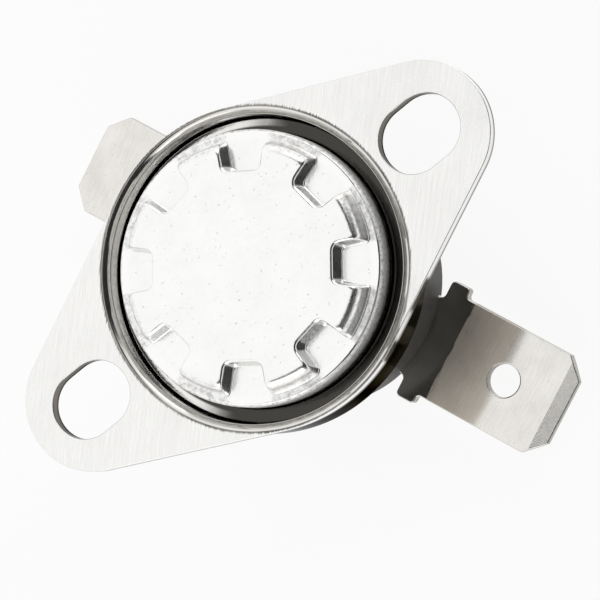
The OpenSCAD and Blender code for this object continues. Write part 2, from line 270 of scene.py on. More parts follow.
def softened(node, material, width, cuts=()):
    """Copy of a CAD node with its sharp edges rounded, and cut across at the given planes."""
    bm = bmesh.new()
    bm.from_mesh(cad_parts[node].data)
    bm.transform(Matrix.Scale(1 / MM, 4))
    bmesh.ops.remove_doubles(bm, verts=bm.verts, dist=WELD)
    bmesh.ops.dissolve_limit(bm, angle_limit=FLAT_ANGLE, verts=bm.verts, edges=bm.edges)
    for place, normal in cuts:
        geom = bm.verts[:] + bm.edges[:] + bm.faces[:]
        bmesh.ops.bisect_plane(bm, geom=geom, plane_co=place, plane_no=normal)
    mesh = bpy.data.meshes.new(node + "_soft")
    bm.to_mesh(mesh)
    bm.free()
    mesh.polygons.foreach_set("use_smooth", [True] * len(mesh.polygons))
    mesh.materials.clear()
    mesh.materials.append(material)
    obj = bpy.data.objects.new(node + "_soft", mesh)
    bpy.context.scene.collection.objects.link(obj)
    bevel = obj.modifiers.new("bevel", "BEVEL")
    bevel.width = width
    bevel.segments = BEVEL_SEGMENTS
    bevel.limit_method = "ANGLE"
    bevel.angle_limit = SHARP
    return placed(obj, node)


# Materials

def add(tree, kind, **values):
    """Shader node with the given properties and input values."""
    made = tree.nodes.new(kind)
    for key, value in values.items():
        if key in made.inputs:
            made.inputs[key].default_value = value
        else:
            setattr(made, key, value)
    return made


def surface(name, metallic, **sockets):
    """Material with a principled shader, and its tree, shader and object coordinates."""
    material = bpy.data.materials.new(name)
    material.use_nodes = True
    tree = material.node_tree
    shader = tree.nodes["Principled BSDF"]
    shader.inputs["Metallic"].default_value = metallic
    for key, value in sockets.items():
        shader.inputs[key.replace("_", " ")].default_value = value
    coords = add(tree, "ShaderNodeTexCoord").outputs["Object"]
    return material, tree, shader, coords


def noise(tree, coords, size, detail=3.0, turn=0.0, rough=0.55):
    """Noise whose grain has the given size in millimetres, one number or three."""
    sizes = [s * MM for s in (size if isinstance(size, tuple) else (size,) * 3)]
    place = add(tree, "ShaderNodeMapping", vector_type="TEXTURE", Rotation=(0, 0, turn), Scale=sizes)
    tree.links.new(coords, place.inputs["Vector"])
    grain = add(tree, "ShaderNodeTexNoise", Scale=1.0, Detail=detail, Roughness=rough)
    tree.links.new(place.outputs["Vector"], grain.inputs["Vector"])
    return grain.outputs["Fac"]


def ramp(tree, value, *stops):
    """Colour ramp through stops of (place, grey level or colour)."""
    made = add(tree, "ShaderNodeValToRGB")
    elements = made.color_ramp.elements
    while len(elements) < len(stops):
        elements.new(1.0)
    for element, (place, colour) in zip(elements, stops):
        element.position = place
        element.color = (*colour, 1) if isinstance(colour, tuple) else (colour, colour, colour, 1)
    tree.links.new(value, made.inputs["Fac"])
    return made.outputs["Color"]


def blend_colour(tree, mode, factor, first, second):
    """Mix of two colours; factor is a number or an output."""
    made = add(tree, "ShaderNodeMix", data_type="RGBA", blend_type=mode)
    if isinstance(factor, float):
        made.inputs[0].default_value = factor
    else:
        tree.links.new(factor, made.inputs[0])
    tree.links.new(first, made.inputs[6])
    tree.links.new(second, made.inputs[7])
    return made.outputs[2]


def times(tree, first, second):
    """Product of two colours or masks."""
    return blend_colour(tree, "MULTIPLY", 1.0, first, second)


def inverse(tree, mask):
    """Mask turned round, so that its 0 becomes 1."""
    return ramp(tree, mask, (0.0, 1.0), (1.0, 0.0))


def bump(tree, height, depth, before=None):
    """Bump of the given depth in millimetres, on top of an earlier one."""
    made = add(tree, "ShaderNodeBump", Strength=1.0, Distance=depth * MM)
    tree.links.new(height, made.inputs["Height"])
    if before is not None:
        tree.links.new(before, made.inputs["Normal"])
    return made.outputs["Normal"]


def rising(tree, value, low, high):
    """Mask that rises smoothly from 0 to 1 between two values in millimetres."""
    mask = add(tree, "ShaderNodeMapRange", interpolation_type="SMOOTHSTEP")
    tree.links.new(value, mask.inputs["Value"])
    mask.inputs["From Min"].default_value = low * MM
    mask.inputs["From Max"].default_value = high * MM
    return mask.outputs["Result"]


def steep(tree):
    """Mask of the walls that stand upright, such as sheared edges and the collar."""
    normal = add(tree, "ShaderNodeSeparateXYZ")
    tree.links.new(add(tree, "ShaderNodeNewGeometry").outputs["True Normal"], normal.inputs["Vector"])
    upward = add(tree, "ShaderNodeMath", operation="ABSOLUTE")
    tree.links.new(normal.outputs["Z"], upward.inputs[0])
    mask = add(tree, "ShaderNodeMapRange", interpolation_type="SMOOTHSTEP")
    tree.links.new(upward.outputs[0], mask.inputs["Value"])
    for name, value in (("From Min", 0.5), ("From Max", 0.97), ("To Min", 1.0), ("To Max", 0.0)):
        mask.inputs[name].default_value = value
    return mask.outputs["Result"]


def axis_distance(tree, coords, place=0.0):
    """Distance from an upright axis that crosses X at a place in millimetres."""
    level = add(tree, "ShaderNodeMapping", Location=(-place * MM, 0, 0), Scale=(1, 1, 0))
    tree.links.new(coords, level.inputs["Vector"])
    distance = add(tree, "ShaderNodeVectorMath", operation="LENGTH")
    tree.links.new(level.outputs["Vector"], distance.inputs[0])
    return distance.outputs["Value"]


def axis_level(tree, coords):
    """Height above the barrier rib."""
    parts = add(tree, "ShaderNodeSeparateXYZ")
    tree.links.new(coords, parts.inputs["Vector"])
    return parts.outputs["Z"]


def reach_along(tree, coords, axis):
    """Distance from the middle along a level axis."""
    reach = add(tree, "ShaderNodeVectorMath", operation="DOT_PRODUCT")
    tree.links.new(coords, reach.inputs[0])
    reach.inputs[1].default_value = axis
    return reach.outputs["Value"]


def frayed_by(tree, grain, width, value):
    """Value with a grain of the given width in millimetres added, which frays a border on it."""
    made = add(tree, "ShaderNodeMath", operation="MULTIPLY_ADD")
    tree.links.new(grain, made.inputs[0])
    made.inputs[1].default_value = width * MM
    tree.links.new(value, made.inputs[2])
    return made.outputs[0]


def tooth_mask(tree, coords):
    """Mask of the sectors of the cap that lie between its notches."""
    flat = add(tree, "ShaderNodeSeparateXYZ")
    tree.links.new(coords, flat.inputs["Vector"])
    angle = add(tree, "ShaderNodeMath", operation="ARCTAN2")
    tree.links.new(flat.outputs["Y"], angle.inputs[0])
    tree.links.new(flat.outputs["X"], angle.inputs[1])
    turned = add(tree, "ShaderNodeMath", operation="SUBTRACT")
    tree.links.new(angle.outputs[0], turned.inputs[0])
    turned.inputs[1].default_value = NOTCH_TURN
    folded = add(tree, "ShaderNodeMath", operation="PINGPONG")
    tree.links.new(turned.outputs[0], folded.inputs[0])
    folded.inputs[1].default_value = math.pi / NOTCH_N
    mask = add(tree, "ShaderNodeMapRange", interpolation_type="SMOOTHSTEP")
    tree.links.new(folded.outputs[0], mask.inputs["Value"])
    mask.inputs["From Min"].default_value = NOTCH_HALF - 0.02
    mask.inputs["From Max"].default_value = NOTCH_HALF + 0.03
    return mask.outputs["Result"]


def brushed_flange():
    """Plated steel: brushed on its faces, smooth where the collar is drawn down, with painted shade that
    darkens the collar's outer wall and the slot walls and turns down their reflection.
    """
    material, tree, shader, coords = surface("flange_brushed", 1.0)
    fine = noise(tree, coords, (1.6, 0.05, 0.05), 3.0, BRUSH_TURN)
    long = noise(tree, coords, (4.0, 0.16, 0.16), 2.0, BRUSH_TURN)
    cloud = noise(tree, coords, 3.0, 2.0)
    distance = axis_distance(tree, coords)
    level = axis_level(tree, coords)
    outside = rising(tree, frayed_by(tree, fine, BRUSH_FRAY, distance), *BRUSHED_BAND)
    walls = steep(tree)
    flat = times(tree, outside, inverse(tree, walls))
    streak = ramp(tree, fine, (0.3, (0.9, 0.893, 0.872)), (0.72, (0.99, 0.985, 0.97)))
    broad = ramp(tree, long, (0.3, 0.955), (0.7, 1.0))
    brushed = times(tree, streak, broad)
    depth = rising(tree, level, Z_FLANGE - 1.1, Z_FLANGE)
    drawn = ramp(tree, depth, (0.02, (0.85, 0.84, 0.82)), (0.75, (0.93, 0.92, 0.9)),
                 (0.9, (0.58, 0.565, 0.535)))
    # Rings round the opening: a cloudy tone at the top of the bend, then a dark frayed ring on the face
    # just outside it.
    bend_top_tone = ramp(tree, cloud, (0.3, (0.74, 0.725, 0.7)), (0.7, (0.84, 0.825, 0.8)))
    drawn = blend_colour(tree, "MIX", rising(tree, distance, *BEND_TOP_BAND), drawn, bend_top_tone)
    line = ramp(tree, cloud, (0.3, (0.14, 0.132, 0.12)), (0.7, (0.34, 0.325, 0.3)))
    drawn = blend_colour(tree, "MIX", rising(tree, distance, *CREASE_BAND), drawn, line)
    # Painted shade: the collar's outer wall, below the edge of its bend, is painted dark grey.
    outer_wall_shade = ramp(tree, cloud, (0.3, (0.2, 0.193, 0.178)), (0.7, (0.28, 0.27, 0.25)))
    bend_edge = rising(tree, level, Z_FLANGE - 0.6, Z_FLANGE - 0.4)
    outer_wall_shade = blend_colour(tree, "MIX", bend_edge, outer_wall_shade, drawn)
    outer_side = rising(tree, distance, *OUTER_WALL_BAND)
    drawn = blend_colour(tree, "MIX", outer_side, drawn, outer_wall_shade)
    # Painted shade: mask of the collar's outer wall and, below, of the slot walls, whose reflection the
    # Specular Tint turns down.
    painted_shade_walls = times(tree, outer_side, inverse(tree, bend_edge))
    raw = ramp(tree, cloud, (0.3, (0.84, 0.83, 0.81)), (0.7, (0.94, 0.93, 0.91)))
    # Painted shade: near each slot the cut walls are painted dark, and they join the mask that turns down
    # their reflection.
    slot_wall_shade = ramp(tree, cloud, (0.3, (0.16, 0.15, 0.14)), (0.7, (0.28, 0.265, 0.24)))
    for side in (-EAR_POS, EAR_POS):
        slot_edge = rising(tree, axis_distance(tree, coords, side), *SLOT_WALL_BAND)
        raw = blend_colour(tree, "MIX", slot_edge, slot_wall_shade, raw)
        slot_wall = times(tree, walls, ramp(tree, slot_edge, (0.0, 0.6), (1.0, 0.0)))
        painted_shade_walls = blend_colour(tree, "LIGHTEN", 1.0, painted_shade_walls, slot_wall)
    tree.links.new(ramp(tree, painted_shade_walls, (0.0, 1.0), (1.0, 0.12)), shader.inputs["Specular Tint"])
    past_collar = rising(tree, distance, *PAST_COLLAR_BAND)
    sheared = times(tree, past_collar, walls)
    unbrushed = blend_colour(tree, "MIX", sheared, drawn, raw)
    tree.links.new(blend_colour(tree, "MIX", flat, unbrushed, brushed), shader.inputs["Base Color"])
    gloss = ramp(tree, cloud, (0.3, 0.22), (0.7, 0.3))
    smooth = ramp(tree, cloud, (0.3, 0.1), (0.7, 0.16))
    tree.links.new(blend_colour(tree, "MIX", flat, smooth, gloss), shader.inputs["Roughness"])
    lines = times(tree, flat, fine)
    tree.links.new(bump(tree, long, 0.002, bump(tree, lines, 0.003)), shader.inputs["Normal"])
    return material


def satin_cap():
    """Pressed aluminium: satin on the face, mottled by wear round its rim, with painted shade down in the
    groove and on the brim's side towards the camera.
    """
    material, tree, shader, coords = surface("cap_satin", 1.0)
    cloud = noise(tree, coords, 1.4, 4.0)
    grain = noise(tree, coords, 0.09, 3.0)
    pits = noise(tree, coords, 0.22, 2.0)
    wear_and_painted_reflection = noise(tree, coords, 0.24, 4.0, rough=0.7)
    level = axis_level(tree, coords)
    distance = axis_distance(tree, coords)
    rim = rising(tree, distance, *RIM_BAND)
    shoulder = rising(tree, distance, *SHOULDER_BAND)
    on_face = rising(tree, level, Z_LEDGE + 0.1, Z_LEDGE + 0.3)
    rim_wear_and_shade = blend_colour(tree, "MIX", on_face, rim, shoulder)
    depth = rising(tree, level, Z_BRIM, Z_LEDGE - 0.1)
    tone = ramp(tree, cloud, (0.3, (0.93, 0.93, 0.915)), (0.7, (0.985, 0.985, 0.97)))
    speck = ramp(tree, pits, (0.24, 0.72), (0.34, 1.0))
    face = times(tree, tone, speck)
    # Painted shade: the upright walls of the raised face, such as the notch walls, are painted darker.
    face = times(tree, face, ramp(tree, steep(tree), (0.0, 1.0), (1.0, 0.8)))
    # Painted shade: the cap's wall darkens down into the groove, near black at its bottom.
    shade = ramp(tree, depth, (0.0, (0.06, 0.057, 0.052)), (0.06, (0.13, 0.125, 0.115)),
                 (0.3, (0.8, 0.79, 0.77)), (1.0, (0.97, 0.965, 0.95)))
    # The brim keeps its metal tone, except on the side towards the camera, where painted shade with a
    # frayed border darkens it.
    brim_metal = ramp(tree, cloud, (0.3, (0.82, 0.81, 0.79)), (0.7, (0.88, 0.87, 0.85)))
    sideways = reach_along(tree, coords, (math.cos(PAINTED_SHADE_SIDE), math.sin(PAINTED_SHADE_SIDE), 0))
    patchy = frayed_by(tree, cloud, PAINTED_SHADE_FRAY, sideways)
    unshaded_side = inverse(tree, rising(tree, patchy, *PAINTED_SHADE_BAND))
    brim = times(tree, rising(tree, distance, *BRIM_BAND), unshaded_side)
    shade = blend_colour(tree, "MIX", brim, shade, brim_metal)
    mottle = ramp(tree, wear_and_painted_reflection, (0.34, 0.64), (0.56, 1.0))
    ledge = rising(tree, level, Z_LEDGE - 0.05, Z_LEDGE - 0.01)
    teeth = blend_colour(tree, "MIX", ledge, inverse(tree, ledge), tooth_mask(tree, coords))
    upper = rising(tree, level, Z_FLANGE - 1.0, Z_FLANGE - 0.3)
    above = times(tree, upper, teeth)
    outer = blend_colour(tree, "MULTIPLY", above, shade, mottle)
    tree.links.new(blend_colour(tree, "MIX", rim_wear_and_shade, face, outer), shader.inputs["Base Color"])
    gloss = ramp(tree, cloud, (0.3, 0.16), (0.7, 0.22))
    rough = ramp(tree, wear_and_painted_reflection, (0.34, 0.46), (0.6, 0.28))
    rough = blend_colour(tree, "MIX", ledge, ramp(tree, wear_and_painted_reflection, (0.34, 0.85), (0.6, 0.65)), rough)
    smooth = ramp(tree, wear_and_painted_reflection, (0.34, 0.14), (0.6, 0.08))
    rough = blend_colour(tree, "MIX", above, smooth, rough)
    tree.links.new(blend_colour(tree, "MIX", rim_wear_and_shade, gloss, rough), shader.inputs["Roughness"])
    fine = bump(tree, grain, 0.002, bump(tree, pits, 0.005))
    dents = times(tree, times(tree, rim_wear_and_shade, above), wear_and_painted_reflection)
    tree.links.new(bump(tree, dents, 0.012, fine), shader.inputs["Normal"])
    return material


def plated(name, low, high, turn):
    """Plated sheet or rivet with a faint rolled grain and specks, and along the blades a matt band with a
    brownish painted reflection.
    """
    material, tree, shader, coords = surface(name, 1.0)
    grain = noise(tree, coords, (0.9, 0.07, 0.07), 3.0, turn)
    specks = noise(tree, coords, 0.12, 2.0)
    cloud = noise(tree, coords, 1.6, 3.0)
    tone = ramp(tree, cloud, (0.3, low), (0.7, high))
    dots = ramp(tree, specks, (0.24, 0.62), (0.32, 1.0), (0.72, 1.0), (0.8, 1.15))
    lines = ramp(tree, grain, (0.3, 0.9), (0.7, 1.0))
    sheet = times(tree, times(tree, tone, lines), dots)
    reach = add(tree, "ShaderNodeMath", operation="ABSOLUTE")
    tree.links.new(reach_along(tree, coords, TAB_AXIS), reach.inputs[0])
    frayed = frayed_by(tree, grain, PAINTED_REFLECTION_FRAY, reach.outputs[0])
    begun = rising(tree, frayed, PAINTED_REFLECTION_START, PAINTED_REFLECTION_START + PAINTED_REFLECTION_RISE)
    ended = rising(tree, frayed, PAINTED_REFLECTION_END, PAINTED_REFLECTION_END + PAINTED_REFLECTION_FALL)
    reflection_band = times(tree, begun, inverse(tree, ended))
    # Painted reflection: the band across each blade is tinted brown.
    wear_and_painted_reflection = ramp(tree, reflection_band, (0.0, 1.0), (1.0, (1.0, 0.945, 0.865)))
    sheet = times(tree, sheet, wear_and_painted_reflection)
    edge = ramp(tree, grain, (0.3, (0.2, 0.185, 0.16)), (0.7, (0.42, 0.4, 0.36)))
    tree.links.new(blend_colour(tree, "MIX", steep(tree), sheet, edge), shader.inputs["Base Color"])
    gloss = ramp(tree, grain, (0.3, 0.09), (0.7, 0.14))
    matt = ramp(tree, grain, (0.3, 0.36), (0.7, 0.44))
    tree.links.new(blend_colour(tree, "MIX", reflection_band, gloss, matt), shader.inputs["Roughness"])
    tree.links.new(bump(tree, grain, 0.0008, bump(tree, specks, 0.001)), shader.inputs["Normal"])
    return material


def moulded(name, low, high, roughness):
    """Moulded phenolic or fired ceramic with a fine grain and slight clouding."""
    material, tree, shader, coords = surface(name, 0.0, Specular_IOR_Level=0.45)
    cloud = noise(tree, coords, 0.8, 4.0)
    grain = noise(tree, coords, 0.06, 2.0)
    tree.links.new(ramp(tree, cloud, (0.3, low), (0.7, high)), shader.inputs["Base Color"])
    gloss = ramp(tree, grain, (0.3, roughness - 0.08), (0.7, roughness + 0.08))
    tree.links.new(gloss, shader.inputs["Roughness"])
    tree.links.new(bump(tree, grain, 0.006), shader.inputs["Normal"])
    return material


def rolled(name, low, high, roughness):
    """Rolled strip, such as brass or bronze, with its grain along the terminals."""
    material, tree, shader, coords = surface(name, 1.0)
    grain = noise(tree, coords, (1.2, 0.06, 0.06), 3.0, TAB_TURN)
    cloud = noise(tree, coords, 0.9, 3.0)
    tree.links.new(ramp(tree, cloud, (0.3, low), (0.7, high)), shader.inputs["Base Color"])
    gloss = ramp(tree, grain, (0.3, roughness - 0.06), (0.7, roughness + 0.06))
    tree.links.new(gloss, shader.inputs["Roughness"])
    tree.links.new(bump(tree, grain, 0.002), shader.inputs["Normal"])
    return material


flange_steel = brushed_flange()
cap_aluminium = satin_cap()
tab_plating = plated("tab_plated", (0.79, 0.765, 0.725), (0.88, 0.86, 0.825), TAB_TURN + math.pi / 2)
rivet_plating = plated("rivet_plated", (0.74, 0.71, 0.66), (0.84, 0.82, 0.77), 0.0)
base_phenolic = moulded("base_moulded", (0.044, 0.041, 0.036), (0.068, 0.063, 0.056), 0.5)
guide_phenolic = moulded("guide_moulded", (0.11, 0.052, 0.026), (0.17, 0.085, 0.045), 0.45)
pin_ceramic = moulded("pin_fired", (0.76, 0.74, 0.68), (0.86, 0.84, 0.79), 0.55)
bimetal = rolled("bimetal_rolled", (0.55, 0.50, 0.45), (0.66, 0.61, 0.56), 0.3)
arm_bronze = rolled("arm_rolled", (0.66, 0.40, 0.22), (0.76, 0.49, 0.29), 0.28)
plate_brass = rolled("plate_rolled", (0.72, 0.55, 0.26), (0.82, 0.66, 0.37), 0.26)
contact_silver = rolled("contact_silvered", (0.82, 0.81, 0.79), (0.91, 0.90, 0.88), 0.2)


# Flange

def flange_row(inset, z):
    """Points of the flange's outline, set in from its edge."""
    lean = math.degrees(math.acos((WAIST_R - EAR_R) / EAR_POS))
    spans = [
        (EAR_POS, EAR_R, -lean, lean, EAR_STEPS), (0, WAIST_R, lean, 180 - lean, WAIST_STEPS),
        (-EAR_POS, EAR_R, 180 - lean, 180 + lean, EAR_STEPS),
        (0, WAIST_R, 180 + lean, 360 - lean, WAIST_STEPS)]
    return [(x, y, z) for cx, r, a, b, steps in spans for x, y in arc(cx, 0, r - inset, a, b, steps)]


def slot_row(side, outset, z):
    """Points of a slot's outline, set out from its edge."""
    cx, r = side * EAR_POS, SLOT_R + outset
    right = arc(cx + SLOT_RUN / 2, 0, r, -90, 90, SLOT_STEPS)
    left = arc(cx - SLOT_RUN / 2, 0, r, 90, 270, SLOT_STEPS)
    return [(x, y, z) for x, y in right + left]


def edge_steps(roll, burr):
    """Set-in and level of a stamped edge: rolled over above, nearly sharp below."""
    steps = [(roll + BORDER, Z_FLANGE)]
    for i in range(EDGE_STEPS + 1):
        a = math.radians(90 * i / EDGE_STEPS)
        steps.append((roll * (1 - math.sin(a)), Z_FLANGE - roll * (1 - math.cos(a))))
    bottom = Z_FLANGE - FLANGE_T
    return steps + [(0, bottom + burr), (burr, bottom), (burr + BORDER, bottom)]


def make_flange():
    """Slotted sheet with a collar that is drawn down round the cap and turned in under its brim."""
    bm = bmesh.new()
    steps = edge_steps(FLANGE_ROLL, FLANGE_BURR)
    outside = loft(bm, [flange_row(inset, z) for inset, z in steps])
    slots = [loft(bm, [slot_row(side, inset, z) for inset, z in steps]) for side in (-1, 1)]
    start, end = math.radians(LEAD_START), math.radians(LEAD_END)
    lead_x, lead_z = LEAD_R + LEAD_ROUND * math.sin(start), Z_FLANGE - LEAD_ROUND * math.cos(start)
    bend = arc(lead_x, lead_z, LEAD_ROUND, 90 + LEAD_START, 90 + LEAD_END, BEND_STEPS)
    wall_top = bend[-1][1] - WALL_ROUND * math.cos(end)
    bend += arc(COLLAR_IR + WALL_ROUND, wall_top, WALL_ROUND, 90 + LEAD_END, 180, BEND_STEPS)[1:]
    lip_top = Z_LIP + LIP_T
    lip = [(COLLAR_IR, lip_top + LIP_CORNER), (COLLAR_IR - LIP_CHAMFER, lip_top + LIP_CHAMFER),
           (COLLAR_IR - LIP_CORNER, lip_top), (LIP_IR + LIP_EDGE, lip_top), (LIP_IR, lip_top - LIP_EDGE),
           (LIP_IR, Z_LIP + LIP_EDGE), (LIP_IR + LIP_EDGE, Z_LIP)]
    under = arc(COLLAR_OR - BEND_R, Z_LIP + BEND_R, BEND_R, -90, 0, BEND_STEPS)
    bottom = Z_FLANGE - FLANGE_T
    border = [(bend[0][0] + BORDER / 3, Z_FLANGE)]
    section = border + bend + lip + under + [(COLLAR_OR, bottom)]
    collar = loft(bm, [circle(r, z) for r, z in section])
    crease = collar[1]
    for i, v in enumerate(crease):
        bm.edges.get((v, crease[i - 1])).smooth = False
    fill(bm, [outside[0], slots[0][0], slots[1][0], collar[0]])
    fill(bm, [outside[-1], slots[0][-1], slots[1][-1], collar[-1]])
    obj = finished("flange", bm, "mounting_flange", flange_steel)
    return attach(obj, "flange")


# Cap

def tooth_row(outer_in, notch_out, z):
    """Outline of the raised face at a level: its round side set in, its notches set out."""
    half = NOTCH_HALF
    outer = FACE_FOOT_R - outer_in
    along = Vector((math.cos(half), -math.sin(half)))
    away = Vector((-math.sin(half), -math.cos(half)))
    off = notch_out + TOOTH_ROUND
    tooth = off * away + math.sqrt((outer - TOOTH_ROUND) ** 2 - off ** 2) * along
    lean = math.degrees(math.atan2(tooth.y, tooth.x))
    turned = 90 - math.degrees(half)
    corner = Vector((NOTCH_R + NOTCH_CORNER, 0))
    corner.y = (NOTCH_CORNER - corner.x * math.sin(half)) / math.cos(half)
    corner_r = NOTCH_CORNER + notch_out
    side = arc(0, 0, outer, -180 / NOTCH_N, lean, TOOTH_STEPS)[:-1]
    side += arc(tooth.x, tooth.y, TOOTH_ROUND, lean, turned, ROUND_STEPS)
    inner = arc(corner.x, corner.y, corner_r, -90 - math.degrees(half), -180, ROUND_STEPS)
    start, end = Vector(side[-1]), Vector(inner[0])
    side += [tuple(start.lerp(end, i / ROUND_STEPS)) for i in range(1, ROUND_STEPS)] + inner
    shares = [i / NOTCH_FLOOR_STEPS for i in range(1, NOTCH_FLOOR_STEPS + 1)]
    mid = [(inner[-1][0], inner[-1][1] * (1 - share)) for share in shares]
    lower = side + mid
    upper = [(x, -y) for x, y in reversed(lower[:-1])][:-1]
    points = []
    for i in range(NOTCH_N):
        turn = NOTCH_TURN + 2 * math.pi * i / NOTCH_N
        c, s = math.cos(turn), math.sin(turn)
        points += [(c * x - s * y, s * x + c * y, z) for x, y in lower + upper]
    return points


def fillet(r, rise):
    """Distance that a fillet of radius r stands out from its wall at a height above its foot."""
    return r - math.sqrt(max(0.0, r * r - max(0.0, r - rise) ** 2))


def face_rows(height, lift, shrink):
    """Outlines up the raised face: fillets at its foot, the leaning walls, the rounded edge, the top."""
    rises = [FOOT_ROUND * i / ROUND_STEPS for i in range(ROUND_STEPS + 1)]
    rows = [(-fillet(FOOT_ROUND, z), -fillet(NOTCH_FOOT_ROUND, z), z) for z in rises]
    for i in range(BEND_STEPS + 1):
        drop = FACE_ROUND * (1 - math.sin(math.radians(90 * i / BEND_STEPS)))
        rows.append((fillet(FACE_ROUND, drop), fillet(NOTCH_ROUND, drop), height - drop))
    rows.append((FACE_ROUND + BORDER, NOTCH_ROUND + BORDER, height))
    made = []
    for outer, notch, rise in rows:
        share = rise / height
        made.append(tooth_row(outer + FACE_LEAN * share + shrink, notch + NOTCH_FLARE * share + shrink,
                              Z_LEDGE + rise + lift))
    return made


def make_cap():
    """Pressed cap, hollow behind, with its brim and hem."""
    bm = bmesh.new()
    height = Z_FACE - Z_LEDGE
    face = loft(bm, face_rows(height, 0, 0))
    fill(bm, [face[-1]])
    ledge = arc(CAP_R - LEDGE_R, Z_LEDGE - LEDGE_R, LEDGE_R, 90, 0, BEND_STEPS)
    foot = arc(CAP_R + CUP_FOOT_ROUND, Z_BRIM + CUP_FOOT_ROUND, CUP_FOOT_ROUND, 180, 270, CORNER_STEPS)
    brim = arc(HEM_R - BRIM_ROUND, Z_BRIM - BRIM_ROUND, BRIM_ROUND, 90, 0, ROUND_STEPS)
    hem = arc(HEM_R - HEM_ROUND, Z_HEM + HEM_ROUND, HEM_ROUND, 0, -90, ROUND_STEPS)
    inside = [(HEM_IR, Z_HEM), (HEM_IR, Z_HEM + CAP_T), (HEM_R - CAP_T, Z_HEM + CAP_T),
              (HEM_R - CAP_T, Z_TOP), (CAP_R - CAP_T, Z_TOP), (CAP_R - CAP_T, Z_LEDGE - CAP_T)]
    shell = loft(bm, [circle(r, z) for r, z in ledge + foot + brim + hem + inside])
    fill(bm, [shell[0], face[0]])
    hollow = loft(bm, face_rows(height, -CAP_T, CAP_T))
    fill(bm, [shell[-1], hollow[0]])
    fill(bm, [hollow[-1]])
    obj = finished("cap", bm, "sensing_cap", cap_aluminium)
    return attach(obj, "housing")


# Terminals

def rounded_row(corners, inset):
    """Points of an outline set in from its edge; corners are (x, y, radius), anticlockwise."""
    count = len(corners)
    places = [Vector(c[:2]) for c in corners]
    row = []
    for i, (x, y, r) in enumerate(corners):
        before = (places[i] - places[i - 1]).normalized()
        after = (places[(i + 1) % count] - places[i]).normalized()
        inward = Vector((-before.y - after.y, before.x + after.x))
        inward /= 1 + before.dot(after)
        corner = places[i] + inset * inward
        turn = before.x * after.y - before.y * after.x
        if r == 0:
            row.append(tuple(corner))
            continue
        radius = max(r - inset, 0.01) if turn > 0 else r + inset
        side = 1 if turn > 0 else -1
        reach = radius * math.tan(math.acos(max(-1, min(1, before.dot(after)))) / 2)
        centre = corner - reach * before + side * radius * Vector((-before.y, before.x))
        start = corner - reach * before - centre
        end = corner + reach * after - centre
        swing = math.atan2(start.x * end.y - start.y * end.x, start.dot(end))
        for k in range(CORNER_STEPS + 1):
            a = swing * k / CORNER_STEPS
            c, s = math.cos(a), math.sin(a)
            row.append((centre.x + c * start.x - s * start.y, centre.y + s * start.x + c * start.y))
    return row


def terminal_corners():
    """Corners of a terminal along +X, from its pad past the stops to the cut tip."""
    lower = [
        (PAD_IN, -NECK_W / 2, NECK_CORNER), (STOP_POS, -NECK_W / 2, NECK_CORNER),
        (STOP_POS, -STOP_W / 2, STOP_CORNER), (STOP_POS + STOP_L, -STOP_W / 2, STOP_EDGE),
        (STOP_POS + STOP_L, -TAB_W / 2, BLADE_CORNER), (TAB_REACH - TIP_CUT, -TAB_W / 2, TIP_CORNER),
        (BEVEL_POS, -BEVEL_HALF_W, 0), (TAB_REACH, TIP_CUT - TAB_W / 2, TIP_EDGE)]
    return lower + [(x, -y, r) for x, y, r in reversed(lower)]


def tab_level(x, side):
    """Level of a terminal's upper or lower face, which closes in along the bevelled tip."""
    share = max(0.0, (x - BEVEL_POS) / (TAB_REACH - BEVEL_POS))
    return Z_TAB_MID + side * (TAB_T + (BEVEL_T - TAB_T) * share) / 2


def make_terminal(node, turn):
    """Flat terminal with its rivet hole, stops, bevelled tip and hole in the blade."""
    bm = bmesh.new()
    swing = Matrix.Rotation(turn, 4, "Z")
    corners = terminal_corners()
    steps = [(TAB_EDGE + BORDER, 0)]
    for i in range(EDGE_STEPS + 1):
        a = math.radians(90 * i / EDGE_STEPS)
        steps.append((TAB_EDGE * (1 - math.sin(a)), TAB_EDGE * (1 - math.cos(a))))
    levels = [(inset, 1, drop) for inset, drop in steps]
    levels += [(inset, -1, drop) for inset, drop in reversed(steps)]

    def tall(points, side, drop):
        return [swing @ Vector((x, y, tab_level(x, side) - side * drop)) for x, y in points]

    def hole(x, r, outset, side, drop):
        return tall(arc(x, 0, r + outset, 0, 360, HOLE_STEPS)[:-1], side, drop)

    outside = loft(bm, [tall(rounded_row(corners, inset), side, drop) for inset, side, drop in levels])
    holes = [loft(bm, [hole(x, r, inset, side, drop) for inset, side, drop in levels])
             for x, r in ((TAB_HOLE_POS, TAB_HOLE_R), (RIVET_POS, RIVET_R))]
    plan = rounded_row(corners, 0)
    creased = [i for i, p in enumerate(plan) if abs(p[0] - BEVEL_POS) < WELD]
    first, last = min(creased), max(creased)
    for level in (0, -1):
        edge = outside[level]
        fill(bm, [edge[:first + 1] + edge[last:], holes[0][level], holes[1][level]])
        fill(bm, [edge[first:last + 1]])
        bm.edges.get((edge[first], edge[last])).smooth = False
    for lower, upper in zip(outside, outside[1:]):
        for corner in (first, last):
            bm.edges.get((lower[corner], upper[corner])).smooth = False
    obj = finished(node + "_blade", bm, node, tab_plating)
    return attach(obj, "housing")


make_flange()
make_cap()
make_terminal("arm_terminal", TAB_TURN)
make_terminal("plate_terminal", TAB_TURN + math.pi)


# Pieces that keep the CAD shape with softened edges

